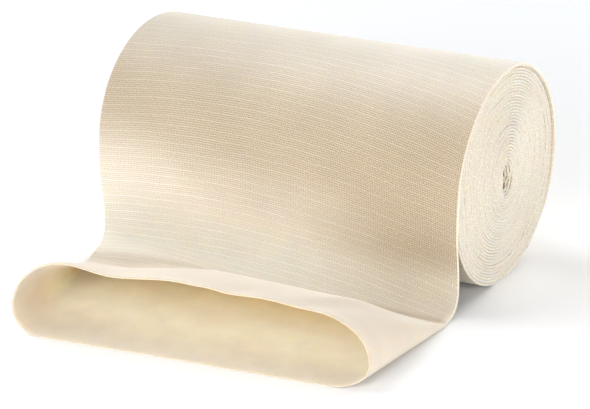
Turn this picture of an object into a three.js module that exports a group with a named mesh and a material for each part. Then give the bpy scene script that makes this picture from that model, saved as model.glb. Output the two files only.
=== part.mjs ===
// Roll of wide tubular elastic bandage lying on its side. The outer end of the tube comes
// over the top, hangs down the front, turns forward on the surface and stands open there.
// Millimetres. +X runs along the roll, -Y is the front, +Z is up, and Z = 0 is the surface.
// The origin is the middle of the small flat spot that the roll rests on.

import * as THREE from 'three';

// Cloth: the tube is pressed flat, so each turn is two walls thick
const FLAT_WIDTH = 325;
const CLOTH = 1.2;
const PRESSED = 2 * CLOTH;
const SLIT = 0.6;
const CLEARANCE = 0.3;
const TURN = PRESSED + CLEARANCE;

// Wound form: a slightly oval spiral, lower than it is deep, with a flat spot below.
// Angles are in degrees from the back, +Y, over the top.
const HALF_DEPTH = 92.4;
const HALF_HEIGHT = 88.35;
const FLAT_SPOT_SAG = 0.8;
const SEGMENTS = 60;
const STEP_ANGLE = 360 / SEGMENTS;
const START_ANGLE = -60;
const RELEASE_ANGLE = 180;

// End faces of the wound form: the outermost turn stands proud of them, and the turns
// stand in by different amounts, by share of the radius
const PROUD = 2;
const RIM_ROUND = 1.2;
const END_FACE = [
  { share: 0.97, inset: 0 },
  { share: 0.78, inset: 0.9 },
  { share: 0.55, inset: 0.3 },
  { share: 0.3, inset: 1.1 },
  { share: 0.09, inset: 1.8 },
  { share: 0.03, inset: 5 },
];
const ROLL_SPANS = 4;

// Underside of the loose end from where it leaves the roll to the surface
const FALL = [
  { y: -90.5, z: 78 },
  { y: -90.4, z: 68 },
  { y: -89.6, z: 57 },
  { y: -88.0, z: 46 },
  { y: -86.4, z: 36 },
  { y: -85.5, z: 27 },
  { y: -85.6, z: 19 },
  { y: -87.2, z: 12 },
  { y: -91.0, z: 6.2 },
  { y: -96.8, z: 2.6 },
  { y: -104.5, z: 0.7 },
  { y: -113, z: 0 },
];
const HOLLOW_BELOW = 40;
const FLOOR_SPANS = 9;

// Folded edges of the tube, drawn in from the bend to the mouth
const DRAWN_IN = { fromFall: 0.55, power: 1.5, left: 10, right: -1.5 };

// Mouth: an oval lying on the surface, its left end further forward and its lip set back
const MOUTH_Y = -267.3;
const MOUTH_SKEW = 0.13;
const MOUTH_LEAN = 0.2;
const MOUTH_LEFT = { tip: -114, rise: 22, below: 25, above: 41 };
const MOUTH_RIGHT = { tip: 169, rise: 18, below: 29, above: 49 };
const LIP = [
  { x: -73, top: 57.2 },
  { x: -35, top: 53.4 },
  { x: 15, top: 57.2 },
  { x: 38, top: 56.4 },
  { x: 60, top: 54.4 },
  { x: 82, top: 54.9 },
  { x: 120, top: 52 },
];

// The tube stays pressed flat for longer at its left edge before it opens
const LATE_OPENING = { share: 0.15, leftX: -100, rightX: 40, softness: 0.08 };

// The front wall stands off the back wall at the left of the bend
const PUFF = { depth: 7, centre: -100, spread: 60, from: 0.4, to: 0.85 };

// Points round one section: each half ring is a quarter, a row and a quarter
const ROW = 14;
const QUARTER = 4;
const HALF_RING = ROW + 2 * QUARTER;

const { degToRad, radToDeg, lerp, clamp, smoothstep } = THREE.MathUtils;

// How far the wound form's surface lies inside the outer oval at an angle
function spiralInset(angle) {
  const share = (START_ANGLE - angle) / (START_ANGLE + RELEASE_ANGLE);
  return TURN * clamp(share, 0, 1);
}

const CENTRE_Z = HALF_HEIGHT - spiralInset(-90) - FLAT_SPOT_SAG;

function ovalPoint(angle, inset) {
  const a = degToRad(angle);
  const y = (HALF_DEPTH - inset) * Math.cos(a);
  return new THREE.Vector2(y, CENTRE_Z + (HALF_HEIGHT - inset) * Math.sin(a));
}

// One turn of the wound form's outline, with the step where the outermost turn begins
function woundOutline() {
  const points = [];
  for (let k = SEGMENTS; k >= 0; k--) {
    const angle = START_ANGLE - k * STEP_ANGLE;
    const point = ovalPoint(angle, spiralInset(angle));
    point.y = Math.max(point.y, 0);
    points.push(point);
  }
  return points;
}

// Joins rings of equal length into a closed surface with the given triangles at its ends
function closedSurface(rings, endTriangles) {
  const count = rings[0].length;
  const positions = rings.flat().flatMap((p) => [p.x, p.y, p.z]);
  const index = [];
  for (let r = 0; r + 1 < rings.length; r++) {
    for (let i = 0; i < count; i++) {
      const a = r * count + i;
      const b = r * count + ((i + 1) % count);
      index.push(a, b, b + count, a, b + count, a + count);
    }
  }
  const lastRing = (rings.length - 1) * count;
  for (const [a, b, c] of endTriangles) {
    index.push(c, b, a);
    index.push(lastRing + a, lastRing + b, lastRing + c);
  }
  const geometry = new THREE.BufferGeometry();
  geometry.setAttribute('position', new THREE.Float32BufferAttribute(positions, 3));
  geometry.setIndex(index);
  geometry.computeVertexNormals();
  return geometry;
}

// Triangles of an end that is a round outline, fanned from its first point
function fanTriangles(count) {
  const triangles = [];
  for (let i = 1; i + 1 < count; i++) triangles.push([0, i, i + 1]);
  return triangles;
}

// Triangles of an end that is a flat section, between its lower and its upper row
function rowTriangles() {
  const count = 2 * HALF_RING;
  const triangles = [];
  for (let i = 0; i < HALF_RING; i++) {
    const [low, lowNext] = [i, i + 1];
    const [high, highNext] = [(count - i) % count, count - i - 1];
    if (lowNext !== highNext) triangles.push([low, lowNext, highNext]);
    if (low !== high) triangles.push([low, highNext, high]);
  }
  return triangles;
}

function rollGeometry() {
  const outline = woundOutline();
  const centre = new THREE.Vector2(0, CENTRE_Z);
  const rimX = FLAT_WIDTH / 2 - PROUD;
  const ring = (x, share) => outline.map((p) => {
    const q = centre.clone().lerp(p, share);
    return new THREE.Vector3(x, q.x, q.y);
  });
  const rings = [];
  for (const face of [...END_FACE].reverse()) rings.push(ring(face.inset - rimX, face.share));
  for (let k = 0; k <= ROLL_SPANS; k++) {
    rings.push(ring(lerp(RIM_ROUND - rimX, rimX - RIM_ROUND, k / ROLL_SPANS), 1));
  }
  for (const face of END_FACE) rings.push(ring(rimX - face.inset, face.share));
  return closedSurface(rings, fanTriangles(outline.length));
}

// Goes round a section from the left tip, below it to the right tip and back above it.
// x runs across the cloth and z off its underside.
function sectionOutline(left, right, floor, top) {
  const points = [];
  const quarter = (end, side, reach, level, leavesTip) => {
    for (let k = 0; k < QUARTER; k++) {
      const turn = (Math.PI / 2) * (leavesTip ? k / QUARTER : 1 - k / QUARTER);
      const x = end.tip - side * reach * (1 - Math.cos(turn));
      points.push({ x, z: lerp(end.rise, level, Math.sin(turn)) });
    }
  };
  const row = (from, to, level) => {
    for (let k = 0; k < ROW; k++) {
      const x = lerp(from, to, k / ROW);
      points.push({ x, z: level(x) });
    }
  };
  const topLeft = left.tip + left.above;
  const topRight = right.tip - right.above;
  quarter(left, -1, left.below, floor, true);
  row(left.tip + left.below, right.tip - right.below, () => floor);
  quarter(right, 1, right.below, floor, false);
  quarter(right, 1, right.above, top(topRight), true);
  row(topRight, topLeft, top);
  quarter(left, -1, left.above, top(topLeft), false);
  return points;
}

// Height of the lip's outside across the mouth, eased from each row of the table to the next
function lipTop(x) {
  const after = LIP.findIndex((row) => x < row.x);
  const next = after < 0 ? LIP.length - 1 : Math.max(after, 1);
  const [a, b] = [LIP[next - 1], LIP[next]];
  return lerp(a.top, b.top, smoothstep(x, a.x, b.x));
}

function mouthSection(wall) {
  const shrink = (end, side) => ({
    tip: end.tip - side * wall,
    rise: end.rise,
    below: end.below - wall / 2,
    above: end.above - wall / 2,
  });
  const top = (x) => lipTop(x) - wall;
  return sectionOutline(shrink(MOUTH_LEFT, -1), shrink(MOUTH_RIGHT, 1), wall, top);
}

// Section of the tube pressed flat, or of the slit between its walls
function pressedSection(station, wall) {
  const left = -FLAT_WIDTH / 2 + station.drawnIn * DRAWN_IN.left + wall;
  const right = FLAT_WIDTH / 2 - station.drawnIn * DRAWN_IN.right - wall;
  const half = PRESSED / 2 - wall;
  const end = { rise: PRESSED / 2, below: half, above: half };
  return sectionOutline({ ...end, tip: left }, { ...end, tip: right }, wall, () => PRESSED - wall);
}

// Share of the mouth's height that a place across the tube has reached
function opening(x, share) {
  const late = LATE_OPENING.share * (1 - smoothstep(x, LATE_OPENING.leftX, LATE_OPENING.rightX));
  const soft = LATE_OPENING.softness;
  const ramp = (t) => (t + Math.hypot(t, soft)) / 2;
  const start = ramp(-late);
  return (ramp(share - late) - start) / (ramp(1 - late) - start);
}

// Stations of the loose end: place and direction of the section's foot, how far down the
// fall it is, how far its edges are drawn in, and its share of the way to the mouth
function stations() {
  const list = [];
  const first = START_ANGLE + radToDeg(CLEARANCE / HALF_DEPTH);
  const angles = [first];
  for (let a = START_ANGLE + STEP_ANGLE; a < RELEASE_ANGLE; a += STEP_ANGLE) angles.push(a);
  for (const angle of angles) {
    const foot = ovalPoint(angle, PRESSED);
    const normal = new THREE.Vector2(Math.cos(degToRad(angle)), Math.sin(degToRad(angle)));
    list.push({ foot, normal, fall: 0, drawnIn: 0, share: 0 });
  }
  const drop = [ovalPoint(RELEASE_ANGLE, PRESSED), ...FALL.map((p) => new THREE.Vector2(p.y, p.z))];
  const end = drop.length - 1;
  drop.forEach((foot, k) => {
    const along = drop[Math.min(k + 1, end)].clone().sub(drop[Math.max(k - 1, 0)]).normalize();
    const normal = new THREE.Vector2(along.y, -along.x);
    const fall = k / end;
    const drawn = clamp((fall - DRAWN_IN.fromFall) / (1 - DRAWN_IN.fromFall), 0, 1);
    list.push({ foot, normal, fall, drawnIn: drawn ** DRAWN_IN.power, share: 0 });
  });
  for (let k = 1; k <= FLOOR_SPANS; k++) {
    const share = k / FLOOR_SPANS;
    const foot = new THREE.Vector2(lerp(drop[end].x, MOUTH_Y, share), 0);
    const normal = new THREE.Vector2(MOUTH_LEAN * share, 1);
    list.push({ foot, normal, fall: 1, drawnIn: 1, share });
  }
  return list;
}

function puff(x, station) {
  const across = Math.exp(-(((x - PUFF.centre) / PUFF.spread) ** 2));
  const down = smoothstep(station.fall, PUFF.from, PUFF.to);
  return PUFF.depth * across * down * (1 - station.share) ** 6;
}

// The section at a station, between the pressed tube and the open mouth
function sectionAt(station, wall, slitWall) {
  const { foot, normal, share } = station;
  const mouth = mouthSection(wall);
  return pressedSection(station, slitWall).map((p, i) => {
    const x = lerp(p.x, mouth[i].x, share);
    const above = i > HALF_RING ? puff(x, station) : 0;
    const off = lerp(p.z, mouth[i].z, opening(x, share)) + above;
    return new THREE.Vector3(x, foot.x + normal.x * off + MOUTH_SKEW * x * share, foot.y + normal.y * off);
  });
}

function looseEndGeometry() {
  const all = stations();
  const hollow = all.filter((s) => s.fall > 0 && s.foot.y < HOLLOW_BELOW).reverse();
  const outer = all.map((s) => sectionAt(s, 0, 0));
  const inner = hollow.map((s) => sectionAt(s, CLOTH, (PRESSED - SLIT) / 2));
  return closedSurface([...outer, ...inner], rowTriangles());
}

function clothMesh(name, geometry, colour) {
  const material = new THREE.MeshStandardMaterial({ color: colour, roughness: 0.92, metalness: 0 });
  const mesh = new THREE.Mesh(geometry, material);
  mesh.name = name;
  return mesh;
}

const bandage = new THREE.Group();
bandage.name = 'tubular_bandage_roll';
bandage.add(clothMesh('roll', rollGeometry(), 0xe9dfc8));
bandage.add(clothMesh('loose_end', looseEndGeometry(), 0xe6d9bd));

export default bandage;
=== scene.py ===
"""Roll of wide tubular elastic bandage on its side, with its loose end standing open on the floor.

Metres, in the CAD model's frame: +X along the roll, -Y to the front, +Z up and the floor at Z = 0.
The knitted tube is modelled as one length of cloth in two pieces that meet low at the back: the
wound turns, each pressed flat, and the loose tube, which runs over the top, down and out.
"""

import math

import bpy
import numpy as np
from bpy.props import FloatProperty, FloatVectorProperty, IntProperty, PointerProperty
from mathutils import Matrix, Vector


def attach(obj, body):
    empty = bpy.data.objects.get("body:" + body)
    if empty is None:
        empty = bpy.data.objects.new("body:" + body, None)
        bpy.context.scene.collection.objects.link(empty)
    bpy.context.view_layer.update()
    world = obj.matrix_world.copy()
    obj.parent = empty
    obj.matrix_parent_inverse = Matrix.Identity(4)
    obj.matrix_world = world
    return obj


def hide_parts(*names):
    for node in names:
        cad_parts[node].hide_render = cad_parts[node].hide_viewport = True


bl_info = {
    "name": "Tubular bandage roll",
    "version": (1, 0, 0),
    "blender": (4, 5, 0),
    "location": "3D View > Sidebar > Bandage",
    "description": "Makes a wound roll of tubular elastic bandage with an open loose end",
    "category": "Add Mesh",
}

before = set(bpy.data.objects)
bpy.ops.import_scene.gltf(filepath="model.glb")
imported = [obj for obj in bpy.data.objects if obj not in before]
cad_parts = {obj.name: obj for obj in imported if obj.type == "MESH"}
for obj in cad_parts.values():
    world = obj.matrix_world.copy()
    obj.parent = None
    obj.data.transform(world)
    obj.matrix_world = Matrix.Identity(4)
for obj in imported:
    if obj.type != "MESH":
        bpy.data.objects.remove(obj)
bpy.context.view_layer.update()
BODY = "root"

MM = 0.001

# Cloth: two walls pressed together make one turn. Where the tube starts to be hollow, its inside is a slit.
CLOTH = 1.2 * MM
PRESSED = 2 * CLOTH
SLIT = 0.6 * MM

# Wound form. Angles are in degrees from the back, +Y, over the top.
HALF_DEPTH = 92.4 * MM
HALF_HEIGHT = 88.35 * MM
CENTRE_Z = 86.875 * MM
START_ANGLE = -60
RELEASE_ANGLE = 180

# Degrees over which the loose tube's edges come out to their full width from the join at the back
TUCKED_FOR = 70

# Flat spot that the roll rests on: pressed in from an oval a little smaller than the roll, and dying out
# with the height above it
FLAT_INSET = 0.7 * MM
FLAT_FADE = 12 * MM

# Heart of the roll, as (y, z): a first fold that stands taller than it is deep. Shares of the way in say
# where the turns begin to shift towards it, where they crumple and where their edges get ragged.
HEART = (5.6 * MM, 82.2 * MM)
HEART_HALF_DEPTH = 4.0 * MM
HEART_HALF_HEIGHT = 9.8 * MM
HEART_SHIFT_FROM = 0.35
CRUMPLE_FROM = 0.88
CRUMPLE_THREE, CRUMPLE_FIVE = 0.9, 0.6
RAGGED_FROM = 0.95

# End faces: how far the turns stand in from the rim, as (share of the radius, mm)
END_FACE = [
    (0.0, 5.5), (0.04, 3.4), (0.09, 1.8), (0.3, 1.1), (0.55, 0.3), (0.78, 0.9), (0.97, 0.2), (1.0, 0.2),
]

# The loose tube is the outermost turn and stands proud of the wound ones. The first of these stands
# further in for part of the way round, most at an angle in degrees from the wound cloth's outer end.
RIM_PROUD = 2 * MM
RIM_GAP = 2.2 * MM
RIM_GAP_AT, RIM_GAP_SPREAD = 235, 65

# Share of the space between two turns that the pressed tube fills
TURN_FILL = 0.9

# Edges of the wound turns. They wander with their neighbours and on their own, in mm, and each fold is
# rounded and set with the loops of its stitches.
WANDER = {"shared": 0.3, "own": 0.25, "ragged": 1.6}
SHARED_PITCH, SHARED_PER_TURN = 160 * MM, 0.9
OWN_PITCH, OWN_PER_TURN = 14 * MM, 5 * MM
RAGGED_PITCH = 9 * MM
FOLD_ROUND = 1.4 * MM
LOOP_HEIGHT, LOOP_PITCH, LOOP_ROUGHNESS, LOOP_SPREAD = 0.12 * MM, 2.6 * MM, 0.07 * MM, 0.4
SEEDS = {"loops": 7, "shared": 11, "own": 21, "ragged": 31}

# Underside of the loose tube from where it leaves the roll to the floor, as (y, z) in mm
FALL = [
    (-90.5, 78), (-90.4, 68), (-89.6, 57), (-88, 46), (-86.4, 36), (-85.5, 27),
    (-85.6, 19), (-87.2, 12), (-91, 6.2), (-96.8, 2.6), (-104.5, 0.7), (-113, 0),
]

# Height below which the tube is hollow: above it the walls lie on each other
HOLLOW_BELOW = 40 * MM

# Folded edges on the way down to the bend: from a share of the fall on, the left one is drawn in and the
# right one let out a little
DRAWN_FROM, DRAWN_POWER, DRAWN_LEFT, DRAWN_RIGHT = 0.55, 1.5, 10 * MM, -1.5 * MM

# Mouth: an oval on the floor, its left end further forward and its lip set back. Each end has its tip's x
# and height, and how far in from the tip it is rounded below and above.
MOUTH_Y = -267.3 * MM
MOUTH_SKEW = 0.13
MOUTH_LEAN = 0.2
MOUTH_LEFT = {"tip": -114 * MM, "rise": 22 * MM, "below": 25 * MM, "above": 41 * MM}
MOUTH_RIGHT = {"tip": 169 * MM, "rise": 18 * MM, "below": 29 * MM, "above": 49 * MM}

# Top of the lip across the mouth, as (x, z) in mm
LIP = [(-73, 57.2), (-35, 53.4), (15, 57.2), (38, 56.4), (60, 54.4), (82, 54.9), (120, 52)]

# Cut edge: its rings as shares of the way from the outside to the inside, how far it bulges, and the
# length of cloth that it takes up
LIP_TURNS = (0.25, 0.5, 0.75)
LIP_ROUND = 0.8 * MM
LIP_LENGTH = 1 * MM

# How the tube opens from the bend to the mouth, as (x in mm, share where it starts, power of the rise)
OPENING = [
    (-150, 0.15, 1.0), (-105, 0.13, 1.0), (-60, 0.04, 0.8), (-20, 0.0, 0.65), (105, 0.0, 0.65),
    (155, 0.0, 1.0),
]
OPENING_SOFTNESS = 0.03

# Where the front wall stands off the back wall at the left of the bend: it starts and is full at shares of
# the fall, and ends at a share of the way from the bend to the mouth
PUFF_DEPTH, PUFF_CENTRE, PUFF_SPREAD = 7 * MM, -105 * MM, 50 * MM
PUFF_FROM, PUFF_TO, PUFF_ENDS = 0.4, 0.85, 0.16

# Knit pattern, in mm of cloth. Its courses run a little aslant and bowed, and stray from straight within
# patches of one size.
KNIT_TILT, KNIT_BOW = -0.06, -0.000625
STRAY_REACH, STRAY_PATCH = (2, 3, 0), 40

# Main and faint ribs: how far from its middle a rib is full, and how far out it is gone. It is stronger in
# some patches than in others, and these are long across the cloth and short along it.
RIB_HALF_WIDTH, FAINT_RIB_HALF_WIDTH = (0.3, 1.1), (0.1, 0.6)
FAINT_RIB = 0.35
RIB_PATCH = (40, 6)
RIB_NOISE, RIB_STRENGTH = (0.35, 0.62), (0.3, 1.0)

# How much paler a rib is than the ground beside it, in red, green and blue
RIB_LIFT = (0.1, 0.12, 0.18)

# Stitches: how much the wales count beside the courses, and how uneven the yarn is, in patches of a size.
# The real courses and wales are probably finer. Here they are as coarse as they need to be to show.
COURSES_PER_RIB = 4
WALE_SHARE = 0.8
YARN_UNEVEN, YARN_PATCH = 9.0, 0.95

# Share of the gaps' colour: least, what full painted shade adds, and what a raised stitch takes away
GAP_LEAST, GAP_SHADED, GAP_STITCH = 0.04, 0.66, 0.12

# How far ribs and stitches are raised, as shares of the bump's depth
RIB_HEIGHT, STITCH_HEIGHT = 0.5, 0.2

# Soft patches of tone on the face and on the inside, in mm, and the noise values where they are least and
# most. The inside also has a trace of the courses and a fine nap, and the cut edge has loops.
PATCH_NOISE = (0.3, 0.7)
FACE_PATCH, FACE_TONE = 45, (0.95, 1.02)
BACK_PATCH, BACK_TONE = 28, (0.94, 1.03)
BACK_COURSE = 0.008
NAP_PATCH, LOOP_PATCH = 1.2, 1.6

# Painted shade on the knit, as how far its dark gaps show, from 0 to about 1: most on the front of the roll
# and in the grooves between the turns, less on top and least near the floor, which stands for light there,
# and none at the folded edges, a painted highlight. Places are in mm, as the range over which one value
# becomes the next.
SHADE_TOP = {"left": 0.45, "right": 0.2}
SHADE_FRONT = {"left": 0.95, "right": 1.03}
SHADE_FOOT = {"middle": 0.08, "left": 0.18, "right": 0.45}
SHADE_IN_GROOVE = 0.85
TOP_X = (-140, 60)
FRONT_Y = (30, 86)
FOOT_Z, FOOT_Z_RISE_AT_LEFT = (22, 108), (30, 20)
FOOT_RIGHT_Z = (20, 50)
LEFT_X, RIGHT_X = (10, 150), (0, 130)
FOLD_X = (161.5, 162.4)

# On its way the loose tube passes the bend at 1 and ends at 2. There the ribs are lost, all but a trace,
# and painted shade darkens the crease, which lies further out where the tube opens late.
RIBS_LOST, RIBS_FADE = 0.95, (0.98, 1.04)
CREASE_SHADE, CREASE_AT, CREASE_SPREAD = 0.4, 0.97, 0.045
CREASE_FOLLOWS = 0.8

# The inside is painted darker beside the mouth, sooner at its left end, as painted shade, and painted warmer
# far in, for light thrown from wall to wall. Places are shares of the way from the bend to the mouth, and the
# left end's place across the tube is in mm.
MOUTH_SHADE, MOUTH_SHADE_FROM = -0.2, 0.6
DEEP_TO = 0.5
LEFT_END_SOONER, LEFT_END_X, LEFT_END_FROM = 0.2, (20, 120), (0.4, 0.8)

# Light in the cloth: how much enters, how far red, green and blue travel, and how rough the nap is
LIGHT_IN, LIGHT_REACH, LIGHT_SCALE = 0.8, (1.0, 0.74, 0.42), 1.5 * MM
NAP_ROUGHNESS = 0.35

# Floor: its size, and how far from the middle its own painted glow starts to rise and is full. At the
# middle it is a share of that.
FLOOR_SIZE = 8
GLOW_FROM, GLOW_FULL, GLOW_MIDDLE = 0.3, 1.2, 0.18

# Lights: softboxes as (name, place, aim, size in metres, watts), and bright walls far off as
# (name, where it stands, width as an angle in degrees, strength)
SOFTBOXES = [
    ("front_softbox", (0.3, -1.6, 0.9), (0, -0.05, 0.08), 0.9, 9.8),
    ("left_softbox", (-1.5, 0, 0.5), (0, -0.05, 0.08), 0.9, 6.3),
    ("right_softbox", (1.5, -0.2, 0.35), (0, -0.05, 0.08), 0.9, 9.9),
    ("low_softbox", (0.05, -0.8, 0.14), (0, -0.15, 0.03), 0.4, 2.6),
]
WALLS = [
    ("back_wall", (0, 1, 0.35), 40, 2.6),
    ("top_left_wall", (-0.6, 0, 0.8), 50, 1.4),
]

# Fineness of the loose tube: points across a wall and round a quarter of an edge, degrees between stations
# on the roll, and stations between two rows of the fall and on the floor
ROW = 62
QUARTER = 7
ARC_STEP = 1.8
FALL_SPLITS = 4
FLOOR_SPANS = 48

# Fineness of the wound turns: places at which a turn's length is measured, step along it and steps round
# a fold
SPIRAL_SAMPLES = 400
TURN_STEP = 1.55 * MM
FOLD_STEPS = 6

# Named amounts of the meshes: cloth places in mm, how strongly the ribs show, how much painted shade the
# knit's gaps give, and on the inside how far out towards the mouth, further at the left end, which sets the
# inside's painted shade and warmth
UV_MAP = "cloth_mm"
RIB_SHOW = "rib_show"
PAINTED_SHADE = "painted_shade"
OUTWARD = "outward"


def linear(hex_colour):
    """Turns an sRGB hex colour into linear RGB."""
    values = [int(hex_colour[i:i + 2], 16) / 255 for i in (0, 2, 4)]
    return tuple(v / 12.92 if v <= 0.04045 else ((v + 0.055) / 1.055) ** 2.4 for v in values)


def smoothstep(x, low, high):
    """Eased rise from 0 at a low value to 1 at a high one."""
    t = np.clip((np.asarray(x, float) - low) / (high - low), 0, 1)
    return t * t * (3 - 2 * t)


def blend(first, second, share):
    """Value between two others, at a share of the way to the second."""
    return first + (second - first) * share


def waves(points, wavelength, seed, count=9):
    """Smooth unevenness of about -1 to 1, of crossing waves, alike in each run."""
    rng = np.random.default_rng(seed)
    points = np.asarray(points, float)
    total = np.zeros(points.shape[:-1])
    for _ in range(count):
        across = rng.normal(size=points.shape[-1])
        across /= np.linalg.norm(across)
        pitch = wavelength * rng.uniform(0.7, 1.5)
        total += np.sin(points @ across * (2 * math.pi / pitch) + rng.uniform(0, 2 * math.pi))
    return total / math.sqrt(2 * count)


class BandageSizes(bpy.types.PropertyGroup):
    """Sizes of the tube, the roll and the knit"""
    flat_width: FloatProperty(
        name="Flat width", description="Width of the tube pressed flat", default=0.325, unit="LENGTH")
    turns: IntProperty(
        name="Turns", description="Turns of the pressed tube in the roll", default=34, min=4)
    rib_pitch: FloatProperty(
        name="Rib pitch", description="Distance between the elastic ribs", default=7.0 * MM, unit="LENGTH")
    wale_pitch: FloatProperty(
        name="Wale pitch", description="Distance between stitches across, coarser than real so that it shows",
        default=1.5 * MM, unit="LENGTH")


class BandageColours(bpy.types.PropertyGroup):
    """Colours of the yarn, the two sides of the cloth and the floor"""
    cotton: FloatVectorProperty(
        name="Cotton", description="Unbleached cotton yarn", subtype="COLOR", default=linear("F7EEDF"))
    gap: FloatVectorProperty(
        name="Gap", description="Shaded gaps between the stitches", subtype="COLOR", default=linear("A28C68"))
    # Darker than the cotton: painted shade on the cut edge
    loops: FloatVectorProperty(
        name="Loops", description="Loops that stand out of the cut edge", subtype="COLOR",
        default=linear("C8BAA4"))
    plain: FloatVectorProperty(
        name="Plain", description="Plain knit beside the mouth", subtype="COLOR", default=linear("DED2C0"))
    back: FloatVectorProperty(
        name="Back", description="Smooth inside of the tube", subtype="COLOR", default=linear("FCF1DD"))
    # Painted warmth of light thrown from wall to wall, far inside the tube
    deep: FloatVectorProperty(
        name="Deep", description="Inside far behind the mouth", subtype="COLOR", default=linear("FDE7C0"))
    floor: FloatVectorProperty(
        name="Floor", description="Plain floor", subtype="COLOR", default=linear("F7F7F7"))


class StageSettings(bpy.types.PropertyGroup):
    """Camera, and the light from below and all round"""
    camera_place: FloatVectorProperty(
        name="Camera place", description="Where the camera stands", subtype="TRANSLATION", unit="LENGTH",
        default=(0.78453, -1.41873, 0.60873))
    azimuth: FloatProperty(
        name="Azimuth", description="Camera's turn to the right of the front",
        default=math.radians(29.875), subtype="ANGLE")
    elevation: FloatProperty(
        name="Elevation", description="Camera's height above the horizon",
        default=math.radians(19.517), subtype="ANGLE")
    focal_length: FloatProperty(
        name="Focal length", description="Camera's focal length", default=127.12, unit="CAMERA")
    # The floor's own glow: painted light
    floor_glow: FloatProperty(
        name="Floor glow", description="How strongly the floor is lit from below", default=0.24, min=0)
    room_light: FloatProperty(
        name="Room light", description="Even light from all round", default=0.12, min=0)


# Materials

def node(tree, kind, sockets=None, **settings):
    """Adds a shader node: settings are its own, and sockets holds values or the outputs that feed it."""
    made = tree.nodes.new("ShaderNode" + kind)
    for name, value in settings.items():
        setattr(made, name, value)
    for name, value in (sockets or {}).items():
        if isinstance(value, bpy.types.NodeSocket):
            tree.links.new(value, made.inputs[name])
        else:
            made.inputs[name].default_value = value
    return made


def new_material(name):
    """Makes an empty material and gives it with its node tree."""
    material = bpy.data.materials.new(name)
    material.use_nodes = True
    material.node_tree.nodes.clear()
    return material, material.node_tree


def finish_material(tree, colour, height, depth, roughness, sheen):
    """Ends a cloth material: light enters the loose yarn, softens, and partly comes out on the other side."""
    bump = node(tree, "Bump", {"Height": height, "Distance": depth, "Strength": 1.0})
    shader = node(tree, "BsdfPrincipled", {
        "Base Color": colour, "Roughness": roughness, "IOR": 1.45, "Specular IOR Level": 0.2,
        "Sheen Weight": sheen, "Sheen Roughness": NAP_ROUGHNESS, "Sheen Tint": (*linear("FFFAF0"), 1),
        "Subsurface Weight": LIGHT_IN, "Subsurface Radius": LIGHT_REACH, "Subsurface Scale": LIGHT_SCALE,
        "Normal": bump.outputs["Normal"],
    })
    node(tree, "OutputMaterial", {"Surface": shader.outputs["BSDF"]})


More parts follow.
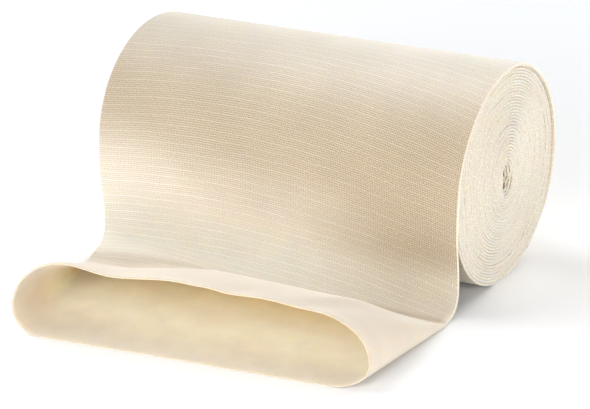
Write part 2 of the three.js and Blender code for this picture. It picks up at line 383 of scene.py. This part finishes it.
def ribbed_cotton_knit(sizes, colours):
    """Tube knitted of unbleached cotton with elastic threads laid in: thin pale ribs over the elastic,
    fainter ones half way between them, finer courses, and small dark gaps between the stitches."""
    material, tree = new_material("ribbed_cotton_knit")
    turn = 2 * math.pi
    rib = sizes.rib_pitch / MM
    course = rib / COURSES_PER_RIB
    wale = sizes.wale_pitch / MM
    cloth = node(tree, "UVMap", uv_map=UV_MAP).outputs["UV"]
    show = node(tree, "Attribute", attribute_name=RIB_SHOW).outputs["Fac"]
    painted_shade = node(tree, "Attribute", attribute_name=PAINTED_SHADE).outputs["Fac"]

    # The pattern strays a little from straight
    stray = node(
        tree, "TexNoise", {"Vector": cloth, "Scale": 1 / STRAY_PATCH, "Detail": 1.0}).outputs["Color"]
    centred = node(tree, "VectorMath", {0: stray, 1: (0.5, 0.5, 0.5)}, operation="SUBTRACT").outputs[0]
    strayed = node(
        tree, "VectorMath", {0: centred, 1: STRAY_REACH, 2: cloth}, operation="MULTIPLY_ADD").outputs[0]
    parts = node(tree, "SeparateXYZ", {0: strayed}).outputs
    across, along = parts["X"], parts["Y"]

    # Ribs over the elastic threads, each strong in places and faint in others
    off_rib = node(tree, "Math", {0: along, 1: rib / 2}, operation="PINGPONG").outputs[0]
    full, gone = RIB_HALF_WIDTH
    ribs = node(
        tree, "MapRange",
        {"Value": off_rib, "From Min": full, "From Max": gone, "To Min": 1.0, "To Max": 0.0},
        interpolation_type="SMOOTHSTEP").outputs[0]
    full, gone = FAINT_RIB_HALF_WIDTH
    between = node(
        tree, "MapRange",
        {"Value": off_rib, "From Min": rib / 2 - gone, "From Max": rib / 2 - full, "To Min": 0.0,
         "To Max": FAINT_RIB},
        interpolation_type="SMOOTHSTEP").outputs[0]
    ribs = node(tree, "Math", {0: ribs, 1: between}, operation="ADD").outputs[0]
    long_patch = (1 / RIB_PATCH[0], 1 / RIB_PATCH[1], 0)
    long_cloth = node(tree, "VectorMath", {0: cloth, 1: long_patch}, operation="MULTIPLY").outputs[0]
    patchy = node(tree, "TexNoise", {"Vector": long_cloth, "Scale": 1.0, "Detail": 3.0}).outputs["Fac"]
    strength = node(tree, "MapRange", {
        "Value": patchy, "From Min": RIB_NOISE[0], "From Max": RIB_NOISE[1],
        "To Min": RIB_STRENGTH[0], "To Max": RIB_STRENGTH[1]}).outputs[0]
    ribs = node(tree, "Math", {0: ribs, 1: strength}, operation="MULTIPLY").outputs[0]

    # Courses and wales of single stitches, of uneven yarn
    course_turn = node(tree, "Math", {0: along, 1: turn / course}, operation="MULTIPLY").outputs[0]
    courses = node(tree, "Math", {0: course_turn}, operation="COSINE").outputs[0]
    wale_turn = node(tree, "Math", {0: across, 1: turn / wale}, operation="MULTIPLY").outputs[0]
    wales = node(tree, "Math", {0: wale_turn}, operation="SINE").outputs[0]
    stitches = node(tree, "Math", {0: wales, 1: WALE_SHARE, 2: courses}, operation="MULTIPLY_ADD").outputs[0]
    yarn = node(tree, "TexNoise", {
        "Vector": cloth, "Scale": 1 / YARN_PATCH, "Detail": 2.0, "Roughness": 0.6}).outputs["Fac"]
    uneven = node(
        tree, "Math", {0: yarn, 1: YARN_UNEVEN, 2: -YARN_UNEVEN / 2}, operation="MULTIPLY_ADD").outputs[0]
    stitches = node(tree, "Math", {0: stitches, 1: uneven}, operation="ADD").outputs[0]

    # Painted shade: the gaps' dark colour shows more where the painted shade amount is higher
    shaded_gaps = node(
        tree, "Math", {0: painted_shade, 1: GAP_SHADED, 2: GAP_LEAST}, operation="MULTIPLY_ADD").outputs[0]
    gaps = node(
        tree, "Math", {0: stitches, 1: -GAP_STITCH, 2: shaded_gaps}, operation="MULTIPLY_ADD",
        use_clamp=True).outputs[0]
    ground = node(
        tree, "Mix", {0: gaps, 6: (*colours.cotton, 1), 7: (*colours.gap, 1)}, data_type="RGBA").outputs[2]

    # A rib is paler than its ground, and less yellow
    lift = node(tree, "VectorMath", {0: RIB_LIFT, "Scale": ribs}, operation="SCALE").outputs[0]
    ribbed = node(tree, "VectorMath", {0: lift, 1: ground, 2: ground}, operation="MULTIPLY_ADD").outputs[0]
    faced = node(tree, "Mix", {0: show, 6: (*colours.plain, 1), 7: ribbed}, data_type="RGBA").outputs[2]

    # Soft patches where the cloth has been handled
    patches = node(tree, "TexNoise", {"Vector": cloth, "Scale": 1 / FACE_PATCH, "Detail": 3.0}).outputs["Fac"]
    tone = node(tree, "MapRange", {
        "Value": patches, "From Min": PATCH_NOISE[0], "From Max": PATCH_NOISE[1],
        "To Min": FACE_TONE[0], "To Max": FACE_TONE[1]}).outputs[0]
    toned = node(tree, "VectorMath", {0: faced, "Scale": tone}, operation="SCALE").outputs[0]

    stitch_height = node(tree, "Math", {0: stitches, 1: STITCH_HEIGHT}, operation="MULTIPLY").outputs[0]
    height = node(
        tree, "Math", {0: ribs, 1: RIB_HEIGHT, 2: stitch_height}, operation="MULTIPLY_ADD").outputs[0]
    shown = node(tree, "Math", {0: height, 1: show}, operation="MULTIPLY").outputs[0]
    finish_material(tree, toned, shown, depth=0.2 * MM, roughness=0.9, sheen=0.6)
    return material


def brushed_cotton_back(sizes, colours):
    """Inside of the tube: the same cotton seen from behind, brushed smooth, so only soft patches and a trace
    of the courses show. Far in it is painted warmer, for light thrown from wall to wall, and beside the mouth
    it is painted darker, as shade."""
    material, tree = new_material("brushed_cotton_back")
    cloth = node(tree, "UVMap", uv_map=UV_MAP).outputs["UV"]
    outward = node(tree, "Attribute", attribute_name=OUTWARD).outputs["Fac"]

    patches = node(tree, "TexNoise", {
        "Vector": cloth, "Scale": 1 / BACK_PATCH, "Detail": 3.0, "Roughness": 0.55}).outputs["Fac"]
    tone = node(tree, "MapRange", {
        "Value": patches, "From Min": PATCH_NOISE[0], "From Max": PATCH_NOISE[1],
        "To Min": BACK_TONE[0], "To Max": BACK_TONE[1]}).outputs[0]
    along = node(tree, "SeparateXYZ", {0: cloth}).outputs["Y"]
    course = sizes.rib_pitch / MM / 2
    course_turn = node(tree, "Math", {0: along, 1: 2 * math.pi / course}, operation="MULTIPLY").outputs[0]
    courses = node(tree, "Math", {0: course_turn}, operation="COSINE").outputs[0]
    tone = node(tree, "Math", {0: courses, 1: BACK_COURSE, 2: tone}, operation="MULTIPLY_ADD").outputs[0]

    # Painted shade beside the mouth
    at_mouth = node(
        tree, "MapRange",
        {"Value": outward, "From Min": MOUTH_SHADE_FROM, "From Max": 1.0, "To Min": 0.0, "To Max": MOUTH_SHADE},
        interpolation_type="SMOOTHSTEP").outputs[0]
    tone = node(tree, "Math", {0: at_mouth, 1: tone}, operation="ADD").outputs[0]
    # Painted warmth far in, for light thrown from wall to wall
    near = node(
        tree, "MapRange",
        {"Value": outward, "From Min": 0.0, "From Max": DEEP_TO, "To Min": 0.0, "To Max": 1.0},
        interpolation_type="SMOOTHSTEP").outputs[0]
    colour = node(
        tree, "Mix", {0: near, 6: (*colours.deep, 1), 7: (*colours.back, 1)}, data_type="RGBA").outputs[2]
    toned = node(tree, "VectorMath", {0: colour, "Scale": tone}, operation="SCALE").outputs[0]
    nap = node(tree, "TexNoise", {"Vector": cloth, "Scale": 1 / NAP_PATCH, "Detail": 3.0}).outputs["Fac"]
    finish_material(tree, toned, nap, depth=0.12 * MM, roughness=0.92, sheen=0.2)
    return material


def cut_knit_edge(colours):
    """Cut edge of the tube: frayed loops that stand open, so it is uneven and duller than the face, with
    darker colours that are painted shade on the lip.
    """
    material, tree = new_material("cut_knit_edge")
    cloth = node(tree, "UVMap", uv_map=UV_MAP).outputs["UV"]
    loops = node(tree, "TexNoise", {"Vector": cloth, "Scale": 1 / LOOP_PATCH, "Detail": 2.0}).outputs["Fac"]
    # Painted shade: both colours are darker than the cotton of the face
    colour = node(
        tree, "Mix", {0: loops, 6: (*colours.plain, 1), 7: (*colours.loops, 1)}, data_type="RGBA").outputs[2]
    finish_material(tree, colour, loops, depth=0.3 * MM, roughness=0.95, sheen=0.1)
    return material


def white_floor_painted_glow(colours, glow):
    """Floor like frosted white acrylic, without gloss, with a cool glow of its own: painted light, weaker
    near the middle.
    """
    material, tree = new_material("white_floor_painted_glow")
    place = node(tree, "TexCoord").outputs["Object"]
    from_middle = node(tree, "VectorMath", {0: place}, operation="LENGTH").outputs["Value"]
    # Painted glow: the floor emits light itself, less near the middle
    lit = node(
        tree, "MapRange",
        {"Value": from_middle, "From Min": GLOW_FROM, "From Max": GLOW_FULL, "To Min": GLOW_MIDDLE * glow,
         "To Max": glow},
        interpolation_type="SMOOTHSTEP").outputs[0]
    shader = node(tree, "BsdfPrincipled", {
        "Base Color": (*colours.floor, 1), "Roughness": 0.95, "Specular IOR Level": 0.1,
        "Emission Color": (*linear("DAEAFF"), 1), "Emission Strength": lit})
    node(tree, "OutputMaterial", {"Surface": shader.outputs["BSDF"]})
    return material


# Shapes

def oval_point(angle, inset):
    """Point (y, z) of the roll's oval outline, drawn in by an inset."""
    a = np.radians(angle)
    y = (HALF_DEPTH - inset) * np.cos(a)
    return y, CENTRE_Z + (HALF_HEIGHT - inset) * np.sin(a)


def knit_bow(x):
    """How far the courses lag behind at a place across the tube, in mm: the knit is a little bowed."""
    x_mm = x / MM
    return KNIT_TILT * x_mm + KNIT_BOW * x_mm ** 2


def make_piece(name, points, faces, uvs, materials, face_material, amounts):
    """Makes a mesh object from points, faces, one UV for each corner of each face, a material number
    for each face, and named amounts with a value for each point."""
    mesh = bpy.data.meshes.new(name)
    mesh.from_pydata(points.tolist(), [], faces)
    layer = mesh.uv_layers.new(name=UV_MAP)
    layer.uv.foreach_set("vector", np.asarray(uvs, np.float32).ravel())
    for amount, values in amounts.items():
        attribute = mesh.attributes.new(amount, "FLOAT", "POINT")
        attribute.data.foreach_set("value", np.asarray(values, np.float32))
    for material in materials:
        mesh.materials.append(material)
    mesh.polygons.foreach_set("material_index", np.asarray(face_material, np.int32))
    mesh.polygons.foreach_set("use_smooth", np.ones(len(mesh.polygons), bool))
    if mesh.validate():
        raise RuntimeError(name + ": the mesh has faulty faces")
    piece = bpy.data.objects.new(name, mesh)
    bpy.context.scene.collection.objects.link(piece)
    return piece


def ring_faces(rings, count):
    """Quads between rings of equal count that follow each other, as rows of four point numbers."""
    r, i = np.meshgrid(np.arange(rings - 1), np.arange(count), indexing="ij")
    a = r * count + i
    b = r * count + (i + 1) % count
    return np.stack([a, b, b + count, a + count], -1).reshape(-1, 4)


def cap_faces(count):
    """Quads across a flat section, between its lower and its upper row."""
    half = count // 2
    faces = []
    for i in range(half):
        low, low_next = i, i + 1
        high, high_next = (count - i) % count, count - i - 1
        corners = [low, low_next, high_next, high]
        faces.append([c for k, c in enumerate(corners) if c not in corners[:k]])
    return faces


# Wound turns

def spiral_point(phi, turns, depth):
    """Point of the wound cloth's outer face, phi degrees in from the outer end, sunk by a depth."""
    share = np.clip(phi / 360 / turns, 0, 1)
    half_depth = HALF_DEPTH + (HEART_HALF_DEPTH - HALF_DEPTH) * share - depth
    half_height = HALF_HEIGHT + (HEART_HALF_HEIGHT - HALF_HEIGHT) * share - depth
    angle = np.radians(START_ANGLE - phi)
    to_heart = smoothstep(share, HEART_SHIFT_FROM, 1.0)
    crumpled = smoothstep(share, CRUMPLE_FROM, 1.0) * MM * (
        CRUMPLE_THREE * np.sin(3 * angle + 1.0) + CRUMPLE_FIVE * np.sin(5 * angle + phi / 360))
    half_depth, half_height = half_depth + crumpled, half_height + crumpled
    y = to_heart * HEART[0] + half_depth * np.cos(angle)
    z = CENTRE_Z + to_heart * (HEART[1] - CENTRE_Z) + half_height * np.sin(angle)
    return y, z


def settle(y, z):
    """Presses the roll's underside flat on the floor, less and less further up."""
    under = CENTRE_Z - (HALF_HEIGHT - FLAT_INSET) * np.sqrt(np.clip(1 - (y / HALF_DEPTH) ** 2, 0, 1))
    push = np.clip(-under, 0, None)
    return np.clip(z + push * np.exp(-np.clip(z - under, 0, None) / FLAT_FADE), 0, None)


def wound_edges(side, at, phi, share, flat_width):
    """How far the wound cloth reaches to one side, all along it, and how its edge wanders on its own."""
    end_share, end_inset = zip(*END_FACE)
    inset = np.interp(1 - share, end_share, end_inset) * MM
    inset = inset + RIM_GAP * np.exp(-((phi - RIM_GAP_AT) / RIM_GAP_SPREAD) ** 2)
    by_turn = phi / 360
    shared = waves(np.stack([at / SHARED_PITCH, by_turn * SHARED_PER_TURN], -1), 1.0, SEEDS["shared"] + side)
    own = waves(np.stack([at, by_turn * OWN_PER_TURN], -1), OWN_PITCH, SEEDS["own"] + side)
    ragged = waves(at[:, None], RAGGED_PITCH, SEEDS["ragged"] + side) * smoothstep(share, RAGGED_FROM, 1.0)
    wander = WANDER["shared"] * shared + WANDER["own"] * own + WANDER["ragged"] * ragged
    return flat_width / 2 - RIM_PROUD - inset + wander * MM, own


def wound_turns(sizes, colours):
    """The pressed tube wound up: one spiral band whose two long edges are rounded folds."""
    turns = sizes.turns
    phi = np.linspace(0, 360 * turns, SPIRAL_SAMPLES * turns)
    y, z = spiral_point(phi, turns, 0)
    length = np.concatenate([[0], np.cumsum(np.hypot(np.diff(y), np.diff(z)))])
    steps = int(length[-1] / TURN_STEP)
    at = np.linspace(0, length[-1], steps)
    phi = np.interp(at, length, phi)
    share = phi / (360 * turns)
    thick = (HALF_DEPTH - HEART_HALF_DEPTH) / turns * TURN_FILL

    rng = np.random.default_rng(SEEDS["loops"])
    flat_half = sizes.flat_width / 2 / MM
    columns, columns_u, columns_shade = [], [], []
    for side in (1, -1):
        edge, own = wound_edges(side, at, phi, share, sizes.flat_width)
        loops = LOOP_HEIGHT * np.sin(at / LOOP_PITCH * 2 * math.pi + 3 * own)[:, None]
        loops = loops + LOOP_ROUGHNESS * rng.normal(size=(steps, FOLD_STEPS + 1))
        for k, turn in enumerate(np.linspace(0, math.pi, FOLD_STEPS + 1)):
            # From the outer face round the fold to the inner face, and back on the other side
            through = 0.5 - 0.5 * side * math.cos(turn)
            bulge = math.sin(turn)
            out = edge - FOLD_ROUND * (1 - bulge) + loops[:, k] * bulge
            sunk = thick * through + loops[:, k] * LOOP_SPREAD * bulge * (through - 0.5)
            y, z = spiral_point(phi, turns, sunk)
            columns.append(np.stack([side * out, y, settle(y, z)], -1))
            columns_u.append(np.full(steps, (2 - side) * flat_half + (turn - math.pi / 2) * CLOTH / MM))
            # Painted shade in the grooves between the turns, none at the fold's tip
            columns_shade.append(np.full(steps, SHADE_IN_GROOVE * (1 - bulge) ** 2))
    points = np.stack(columns, 1)
    count = points.shape[1]
    v = -at[:, None] / MM + knit_bow(points[..., 0])
    uv = np.stack([np.stack(columns_u, 1), v], -1).reshape(-1, 2)
    points = points.reshape(-1, 3)

    faces = ring_faces(steps, count)
    caps = cap_of_round(count)
    caps = caps + [[(steps - 1) * count + corner for corner in face[::-1]] for face in caps]
    uvs = np.concatenate([wrap_uvs(faces, uv, 4 * flat_half), uv[np.concatenate(caps)]])
    piece = make_piece(
        "wound_turns", points, faces.tolist() + caps, uvs, [ribbed_cotton_knit(sizes, colours)],
        np.zeros(len(faces) + len(caps)),
        {RIB_SHOW: np.ones(len(points)), PAINTED_SHADE: np.stack(columns_shade, 1).ravel()})
    return piece, length[-1]


def wrap_uvs(faces, uv, round_length):
    """UVs of quads round a tube, with the last column's far corners one round on."""
    corners = uv[faces]
    u = corners[..., 0]
    wrap = (u.max(1) - u.min(1) > round_length / 2)[:, None] & (u < round_length / 2)
    corners[..., 0] = np.where(wrap, u + round_length, u)
    return corners.reshape(-1, 2)


def cap_of_round(count):
    """Quads across a ring whose first half runs one way and whose second half runs back."""
    return [[i, count - 1 - i, count - 2 - i, i + 1] for i in range(count // 2 - 1)]


# Loose tube

def fall_curve():
    """Underside of the fall as a smooth curve through its points, with how far down each place is."""
    rows = np.array([oval_point(RELEASE_ANGLE, PRESSED), *[(y * MM, z * MM) for y, z in FALL]])
    before = rows[0] + (rows[0] - rows[1])
    after = rows[-1] + (rows[-1] - rows[-2])
    padded = np.vstack([before, rows, after])
    places = []
    for k in range(len(rows) - 1):
        a, b, c, d = padded[k:k + 4]
        for step in range(FALL_SPLITS):
            t = step / FALL_SPLITS
            places.append(0.5 * (2 * b + (c - a) * t + (2 * a - 5 * b + 4 * c - d) * t ** 2
                                 + (3 * b - a - 3 * c + d) * t ** 3))
    places.append(rows[-1])
    places = np.array(places)
    places[:, 1] = np.clip(places[:, 1], 0, None)
    return places, np.linspace(0, 1, len(places))


def tube_stations():
    """Stations of the loose tube from the join to the mouth. Each has a foot under the tube, as (y, z), a
    normal there, its share of the fall and of the way over the floor, and how far its edges are drawn in
    towards the bend and tucked in at the join."""
    angles = np.arange(START_ANGLE, RELEASE_ANGLE, ARC_STEP)
    wound = np.stack(oval_point(angles, PRESSED), -1)
    wound_normal = np.stack([np.cos(np.radians(angles)), np.sin(np.radians(angles))], -1)
    places, fall = fall_curve()
    along = np.gradient(places, axis=0)
    along /= np.linalg.norm(along, axis=1)[:, None]
    fall_normal = np.stack([along[:, 1], -along[:, 0]], -1)
    drawn = np.clip((fall - DRAWN_FROM) / (1 - DRAWN_FROM), 0, 1) ** DRAWN_POWER
    share = np.arange(1, FLOOR_SPANS + 1) / FLOOR_SPANS
    floor = np.stack([places[-1, 0] + (MOUTH_Y - places[-1, 0]) * share, 0 * share], -1)
    floor_normal = np.stack([MOUTH_LEAN * share, np.ones_like(share)], -1)
    nothing, one = np.zeros(len(angles)), np.ones(FLOOR_SPANS)
    tucked = 1 - smoothstep(angles, START_ANGLE, START_ANGLE + TUCKED_FOR)
    return {
        "foot": np.concatenate([wound, places, floor]),
        "normal": np.concatenate([wound_normal, fall_normal, floor_normal]),
        "fall": np.concatenate([nothing, fall, one]),
        "drawn": np.concatenate([nothing, drawn, one]),
        "tucked": np.concatenate([tucked, 0 * fall, 0 * one]),
        "share": np.concatenate([nothing, 0 * fall, share]),
    }


def section_outline(left, right, floor, top):
    """Ring of (x, height) from the left tip, below to the right tip and back above."""
    turn = np.arange(QUARTER) / QUARTER * math.pi / 2
    step = np.arange(ROW) / ROW
    top_left, top_right = left["tip"] + left["above"], right["tip"] - right["above"]

    def quarter(end, side, reach, level, angle):
        """Quarter of an oval between an end's tip and a level."""
        x = end["tip"] - side * reach * (1 - np.cos(angle))
        return np.stack([x, end["rise"] + (level - end["rise"]) * np.sin(angle)], -1)

    low_x = left["tip"] + left["below"] + (right["tip"] - right["below"] - left["tip"] - left["below"]) * step
    high_x = top_right + (top_left - top_right) * step
    return np.concatenate([
        quarter(left, -1, left["below"], floor, turn),
        np.stack([low_x, np.full(ROW, floor)], -1),
        quarter(right, 1, right["below"], floor, math.pi / 2 - turn),
        quarter(right, 1, right["above"], top(top_right), turn),
        np.stack([high_x, top(high_x)], -1),
        quarter(left, -1, left["above"], top(top_left), math.pi / 2 - turn),
    ])


def lip_top(x):
    """Height of the lip's outside across the mouth, eased from each row of the table to the next."""
    rows = np.array(LIP) * MM
    x = np.clip(np.asarray(x, float), rows[0, 0], rows[-1, 0])
    k = np.clip(np.searchsorted(rows[:, 0], x, side="right") - 1, 0, len(rows) - 2)
    t = smoothstep((x - rows[k, 0]) / (rows[k + 1, 0] - rows[k, 0]), 0, 1)
    return rows[k, 1] + (rows[k + 1, 1] - rows[k, 1]) * t


def mouth_section(wall):
    """Section at the mouth: its outside, or its inside where a wall's thickness is given."""
    def shrink(end, side):
        """An end of the section, drawn in by the wall."""
        return {
            "tip": end["tip"] - side * wall, "rise": end["rise"],
            "below": end["below"] - wall / 2, "above": end["above"] - wall / 2,
        }
    return section_outline(
        shrink(MOUTH_LEFT, -1), shrink(MOUTH_RIGHT, 1), wall, lambda x: lip_top(x) - wall)


def pressed_section(flat_width, drawn, tucked, wall):
    """Section of the tube pressed flat: its outside, or its inside where a wall's thickness is given."""
    half = PRESSED / 2 - wall
    reach = flat_width / 2 - wall - tucked * RIM_PROUD
    left = {"tip": -reach + drawn * DRAWN_LEFT, "rise": PRESSED / 2, "below": half, "above": half}
    right = {"tip": reach - drawn * DRAWN_RIGHT, "rise": PRESSED / 2, "below": half, "above": half}
    return section_outline(left, right, wall, lambda x: np.full_like(np.asarray(x, float), PRESSED - wall))


def opening(x, share):
    """Share of the mouth's height that a place across the tube has reached."""
    across, starts, powers = np.array(OPENING).T
    late = np.interp(x, across * MM, starts)
    power = np.interp(x, across * MM, powers)

    def ramp(t):
        """Rise that starts at about 0, without a corner."""
        return (t + np.hypot(t, OPENING_SOFTNESS)) / 2

    start = ramp(-late)
    return ((ramp(share - late) - start) / (ramp(1 - late) - start)) ** power


def puff(x, fall, share):
    """How far the front wall stands off the back wall at the left of the bend."""
    across = np.exp(-((x - PUFF_CENTRE) / PUFF_SPREAD) ** 2)
    return PUFF_DEPTH * across * smoothstep(fall, PUFF_FROM, PUFF_TO) * (1 - smoothstep(share, 0, PUFF_ENDS))


def section_at(stations, k, flat_width, wall, slit_wall):
    """Ring of points of the tube's outside or inside at a station."""
    foot, normal, share = stations["foot"][k], stations["normal"][k], stations["share"][k]
    pressed = pressed_section(flat_width, stations["drawn"][k], stations["tucked"][k], slit_wall)
    mouth = mouth_section(wall)
    x = pressed[:, 0] + (mouth[:, 0] - pressed[:, 0]) * share
    half_ring = ROW + 2 * QUARTER
    above = np.where(np.arange(len(x)) > half_ring, puff(x, stations["fall"][k], share), 0)
    off = pressed[:, 1] + (mouth[:, 1] - pressed[:, 1]) * opening(x, share) + above
    z = np.clip(foot[1] + normal[1] * off, 0, None)
    return np.stack([x, foot[0] + normal[0] * off + MOUTH_SKEW * x * share, z], -1)


def painted_shade_at(points):
    """Painted shade at points of the loose tube, as how far the knit's dark gaps show: most on the front and
    right, painted light on top and near the floor, and a painted highlight at the folded edges.
    """
    x, y, z = np.moveaxis(points / MM, -1, 0)
    left, right = smoothstep(-x, *LEFT_X), smoothstep(x, *RIGHT_X)
    top = blend(SHADE_TOP["left"], SHADE_TOP["right"], smoothstep(x, *TOP_X))
    front = blend(top, blend(SHADE_FRONT["left"], SHADE_FRONT["right"], right), smoothstep(-y, *FRONT_Y))
    foot = blend(SHADE_FOOT["middle"], SHADE_FOOT["left"], left)
    foot_z = [z_mm + rise * left for z_mm, rise in zip(FOOT_Z, FOOT_Z_RISE_AT_LEFT)]
    height_shade = blend(foot, 1, smoothstep(z, *foot_z))
    height_shade = blend(height_shade, 1, right * blend(SHADE_FOOT["right"], 1, smoothstep(z, *FOOT_RIGHT_Z)))
    return front * height_shade * (1 - smoothstep(np.abs(x), *FOLD_X))


def lip_rings(outside, inside):
    """Rounded lip between the last ring of the outside and the first of the inside."""
    rings = []
    for t in LIP_TURNS:
        ring = blend(outside, inside, 0.5 - 0.5 * math.cos(math.pi * t))
        ring[:, 1] -= LIP_ROUND * math.sin(math.pi * t)
        rings.append(ring)
    return np.array(rings)


def loose_tube(sizes, colours):
    """The loose tube: its outside from the join to the mouth, a rounded lip, and its inside back to where
    the walls meet."""
    width = sizes.flat_width
    stations = tube_stations()
    total = len(stations["fall"])
    hollow = [k for k in range(total) if stations["fall"][k] > 0 and stations["foot"][k][1] < HOLLOW_BELOW]
    hollow = hollow[::-1]
    outer = np.array([section_at(stations, k, width, 0, 0) for k in range(total)])
    inner = np.array([section_at(stations, k, width, CLOTH, (PRESSED - SLIT) / 2) for k in hollow])
    lip = lip_rings(outer[-1], inner[0])
    rings = np.concatenate([outer, lip, inner])
    count = rings.shape[1]
    x = rings[..., 0]

    def by_ring(values, lip_value):
        """Values of the stations, taken over to all rings: the outside's, the lip's and the inside's."""
        return np.concatenate([values, np.full(len(lip), lip_value), values[hollow]])[:, None]

    steps = np.linalg.norm(np.diff(stations["foot"], axis=0), axis=1)
    length = np.concatenate([[0], np.cumsum(steps)])
    flat = pressed_section(width, 0, 0, 0)
    around = np.concatenate([[0], np.cumsum(np.linalg.norm(np.diff(flat, axis=0), axis=1))])
    u = around / MM - width / 2 / MM
    v = by_ring(length, length[-1] + LIP_LENGTH) / MM + knit_bow(x)
    uv = np.stack([np.broadcast_to(u, x.shape), v], -1).reshape(-1, 2)

    outward = by_ring(stations["share"], 1)
    across, late = np.array(OPENING).T[:2]
    way = by_ring(stations["fall"], 1) + outward - CREASE_FOLLOWS * np.interp(x, across * MM, late)
    show = 1 - RIBS_LOST * smoothstep(way, *RIBS_FADE)
    # Painted shade over the knit, and more of it in the crease
    painted_shade = painted_shade_at(rings) + CREASE_SHADE * np.exp(-((way - CREASE_AT) / CREASE_SPREAD) ** 2)
    left_end = smoothstep(-x / MM, *LEFT_END_X) * smoothstep(outward, *LEFT_END_FROM)
    outward = outward + LEFT_END_SOONER * left_end

    faces = ring_faces(len(rings), count)
    first = [face[::-1] for face in cap_faces(count)]
    last = [[(len(rings) - 1) * count + corner for corner in face] for face in cap_faces(count)]
    caps = first + last
    uvs = np.concatenate([wrap_uvs(faces, uv, 2 * width / MM), uv[np.concatenate(caps)]])
    ring_number = np.repeat(np.arange(len(rings) - 1), count)
    face_material = np.concatenate([
        np.select([ring_number < total - 1, ring_number < total + len(lip)], [0, 2], 1),
        np.zeros(len(first)), np.ones(len(last))])
    materials = [
        bpy.data.materials["ribbed_cotton_knit"], brushed_cotton_back(sizes, colours), cut_knit_edge(colours)]
    piece = make_piece(
        "loose_tube", rings.reshape(-1, 3), faces.tolist() + caps, uvs, materials, face_material,
        {RIB_SHOW: show.ravel(), PAINTED_SHADE: painted_shade.ravel(), OUTWARD: outward.ravel()})
    return piece, length[-1]


# Operators

class MakeWoundTurns(bpy.types.Operator):
    """Winds the pressed tube into the roll, one turn on the other"""
    bl_idname = "bandage.wound_turns"
    bl_label = "Wound turns"

    def execute(self, context):
        scene = context.scene
        piece, length = wound_turns(scene.bandage_sizes, scene.bandage_colours)
        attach(piece, BODY)
        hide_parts("roll")
        return {"FINISHED"}


class MakeLooseTube(bpy.types.Operator):
    """Lays the loose tube over the roll, down its front and out on the floor"""
    bl_idname = "bandage.loose_tube"
    bl_label = "Loose tube"

    def execute(self, context):
        scene = context.scene
        piece, length = loose_tube(scene.bandage_sizes, scene.bandage_colours)
        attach(piece, BODY)
        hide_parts("loose_end")
        return {"FINISHED"}


def add_light(name, data, place, aim):
    """Adds a light that faces its aim and isn't seen itself."""
    light = bpy.data.objects.new(name, data)
    light.location = place
    light.rotation_euler = (Vector(aim) - Vector(place)).to_track_quat("-Z", "Y").to_euler()
    light.visible_camera = False
    bpy.context.scene.collection.objects.link(light)


class MakeStage(bpy.types.Operator):
    """Sets the floor, the lights and the camera"""
    bl_idname = "bandage.stage"
    bl_label = "Stage"

    def execute(self, context):
        scene = context.scene
        stage = scene.bandage_stage
        bpy.ops.mesh.primitive_plane_add(size=FLOOR_SIZE, location=(0, 0, 0))
        floor = context.active_object
        floor.name = "floor"
        floor.data.materials.append(white_floor_painted_glow(scene.bandage_colours, stage.floor_glow))

        for name, place, aim, size, power in SOFTBOXES:
            data = bpy.data.lights.new(name, "AREA")
            data.shape = "DISK"
            data.size = size
            data.energy = power
            add_light(name, data, place, aim)
        for name, place, angle, power in WALLS:
            data = bpy.data.lights.new(name, "SUN")
            data.angle = math.radians(angle)
            data.energy = power
            add_light(name, data, place, (0, 0, 0))

        world = bpy.data.worlds.new("white_room")
        world.use_nodes = True
        background = world.node_tree.nodes["Background"]
        background.inputs["Color"].default_value = (1, 1, 1, 1)
        background.inputs["Strength"].default_value = stage.room_light
        scene.world = world
        scene.view_settings.view_transform = "Standard"

        data = bpy.data.cameras.new("camera")
        data.lens = stage.focal_length
        camera = bpy.data.objects.new("camera", data)
        camera.location = stage.camera_place
        camera.rotation_euler = (math.pi / 2 - stage.elevation, 0, stage.azimuth)
        scene.collection.objects.link(camera)
        scene.camera = camera
        return {"FINISHED"}


class BandagePanel(bpy.types.Panel):
    """Lists the bandage's pieces, sizes and colours"""
    bl_idname = "VIEW3D_PT_bandage"
    bl_label = "Bandage roll"
    bl_space_type = "VIEW_3D"
    bl_region_type = "UI"
    bl_category = "Bandage"

    def draw(self, context):
        for maker in OPERATORS:
            self.layout.operator(maker.bl_idname)
        scene = context.scene
        for group in (scene.bandage_sizes, scene.bandage_colours, scene.bandage_stage):
            for name in group.__annotations__:
                self.layout.prop(group, name)


OPERATORS = (MakeWoundTurns, MakeLooseTube, MakeStage)
CLASSES = (BandageSizes, BandageColours, StageSettings, *OPERATORS, BandagePanel)


def register():
    for kind in CLASSES:
        bpy.utils.register_class(kind)
    bpy.types.Scene.bandage_sizes = PointerProperty(type=BandageSizes)
    bpy.types.Scene.bandage_colours = PointerProperty(type=BandageColours)
    bpy.types.Scene.bandage_stage = PointerProperty(type=StageSettings)


def unregister():
    del bpy.types.Scene.bandage_stage
    del bpy.types.Scene.bandage_colours
    del bpy.types.Scene.bandage_sizes
    for kind in reversed(CLASSES):
        bpy.utils.unregister_class(kind)


def main():
    register()
    bpy.ops.bandage.wound_turns()
    bpy.ops.bandage.loose_tube()
    bpy.ops.bandage.stage()


if __name__ == "__main__":
    main()
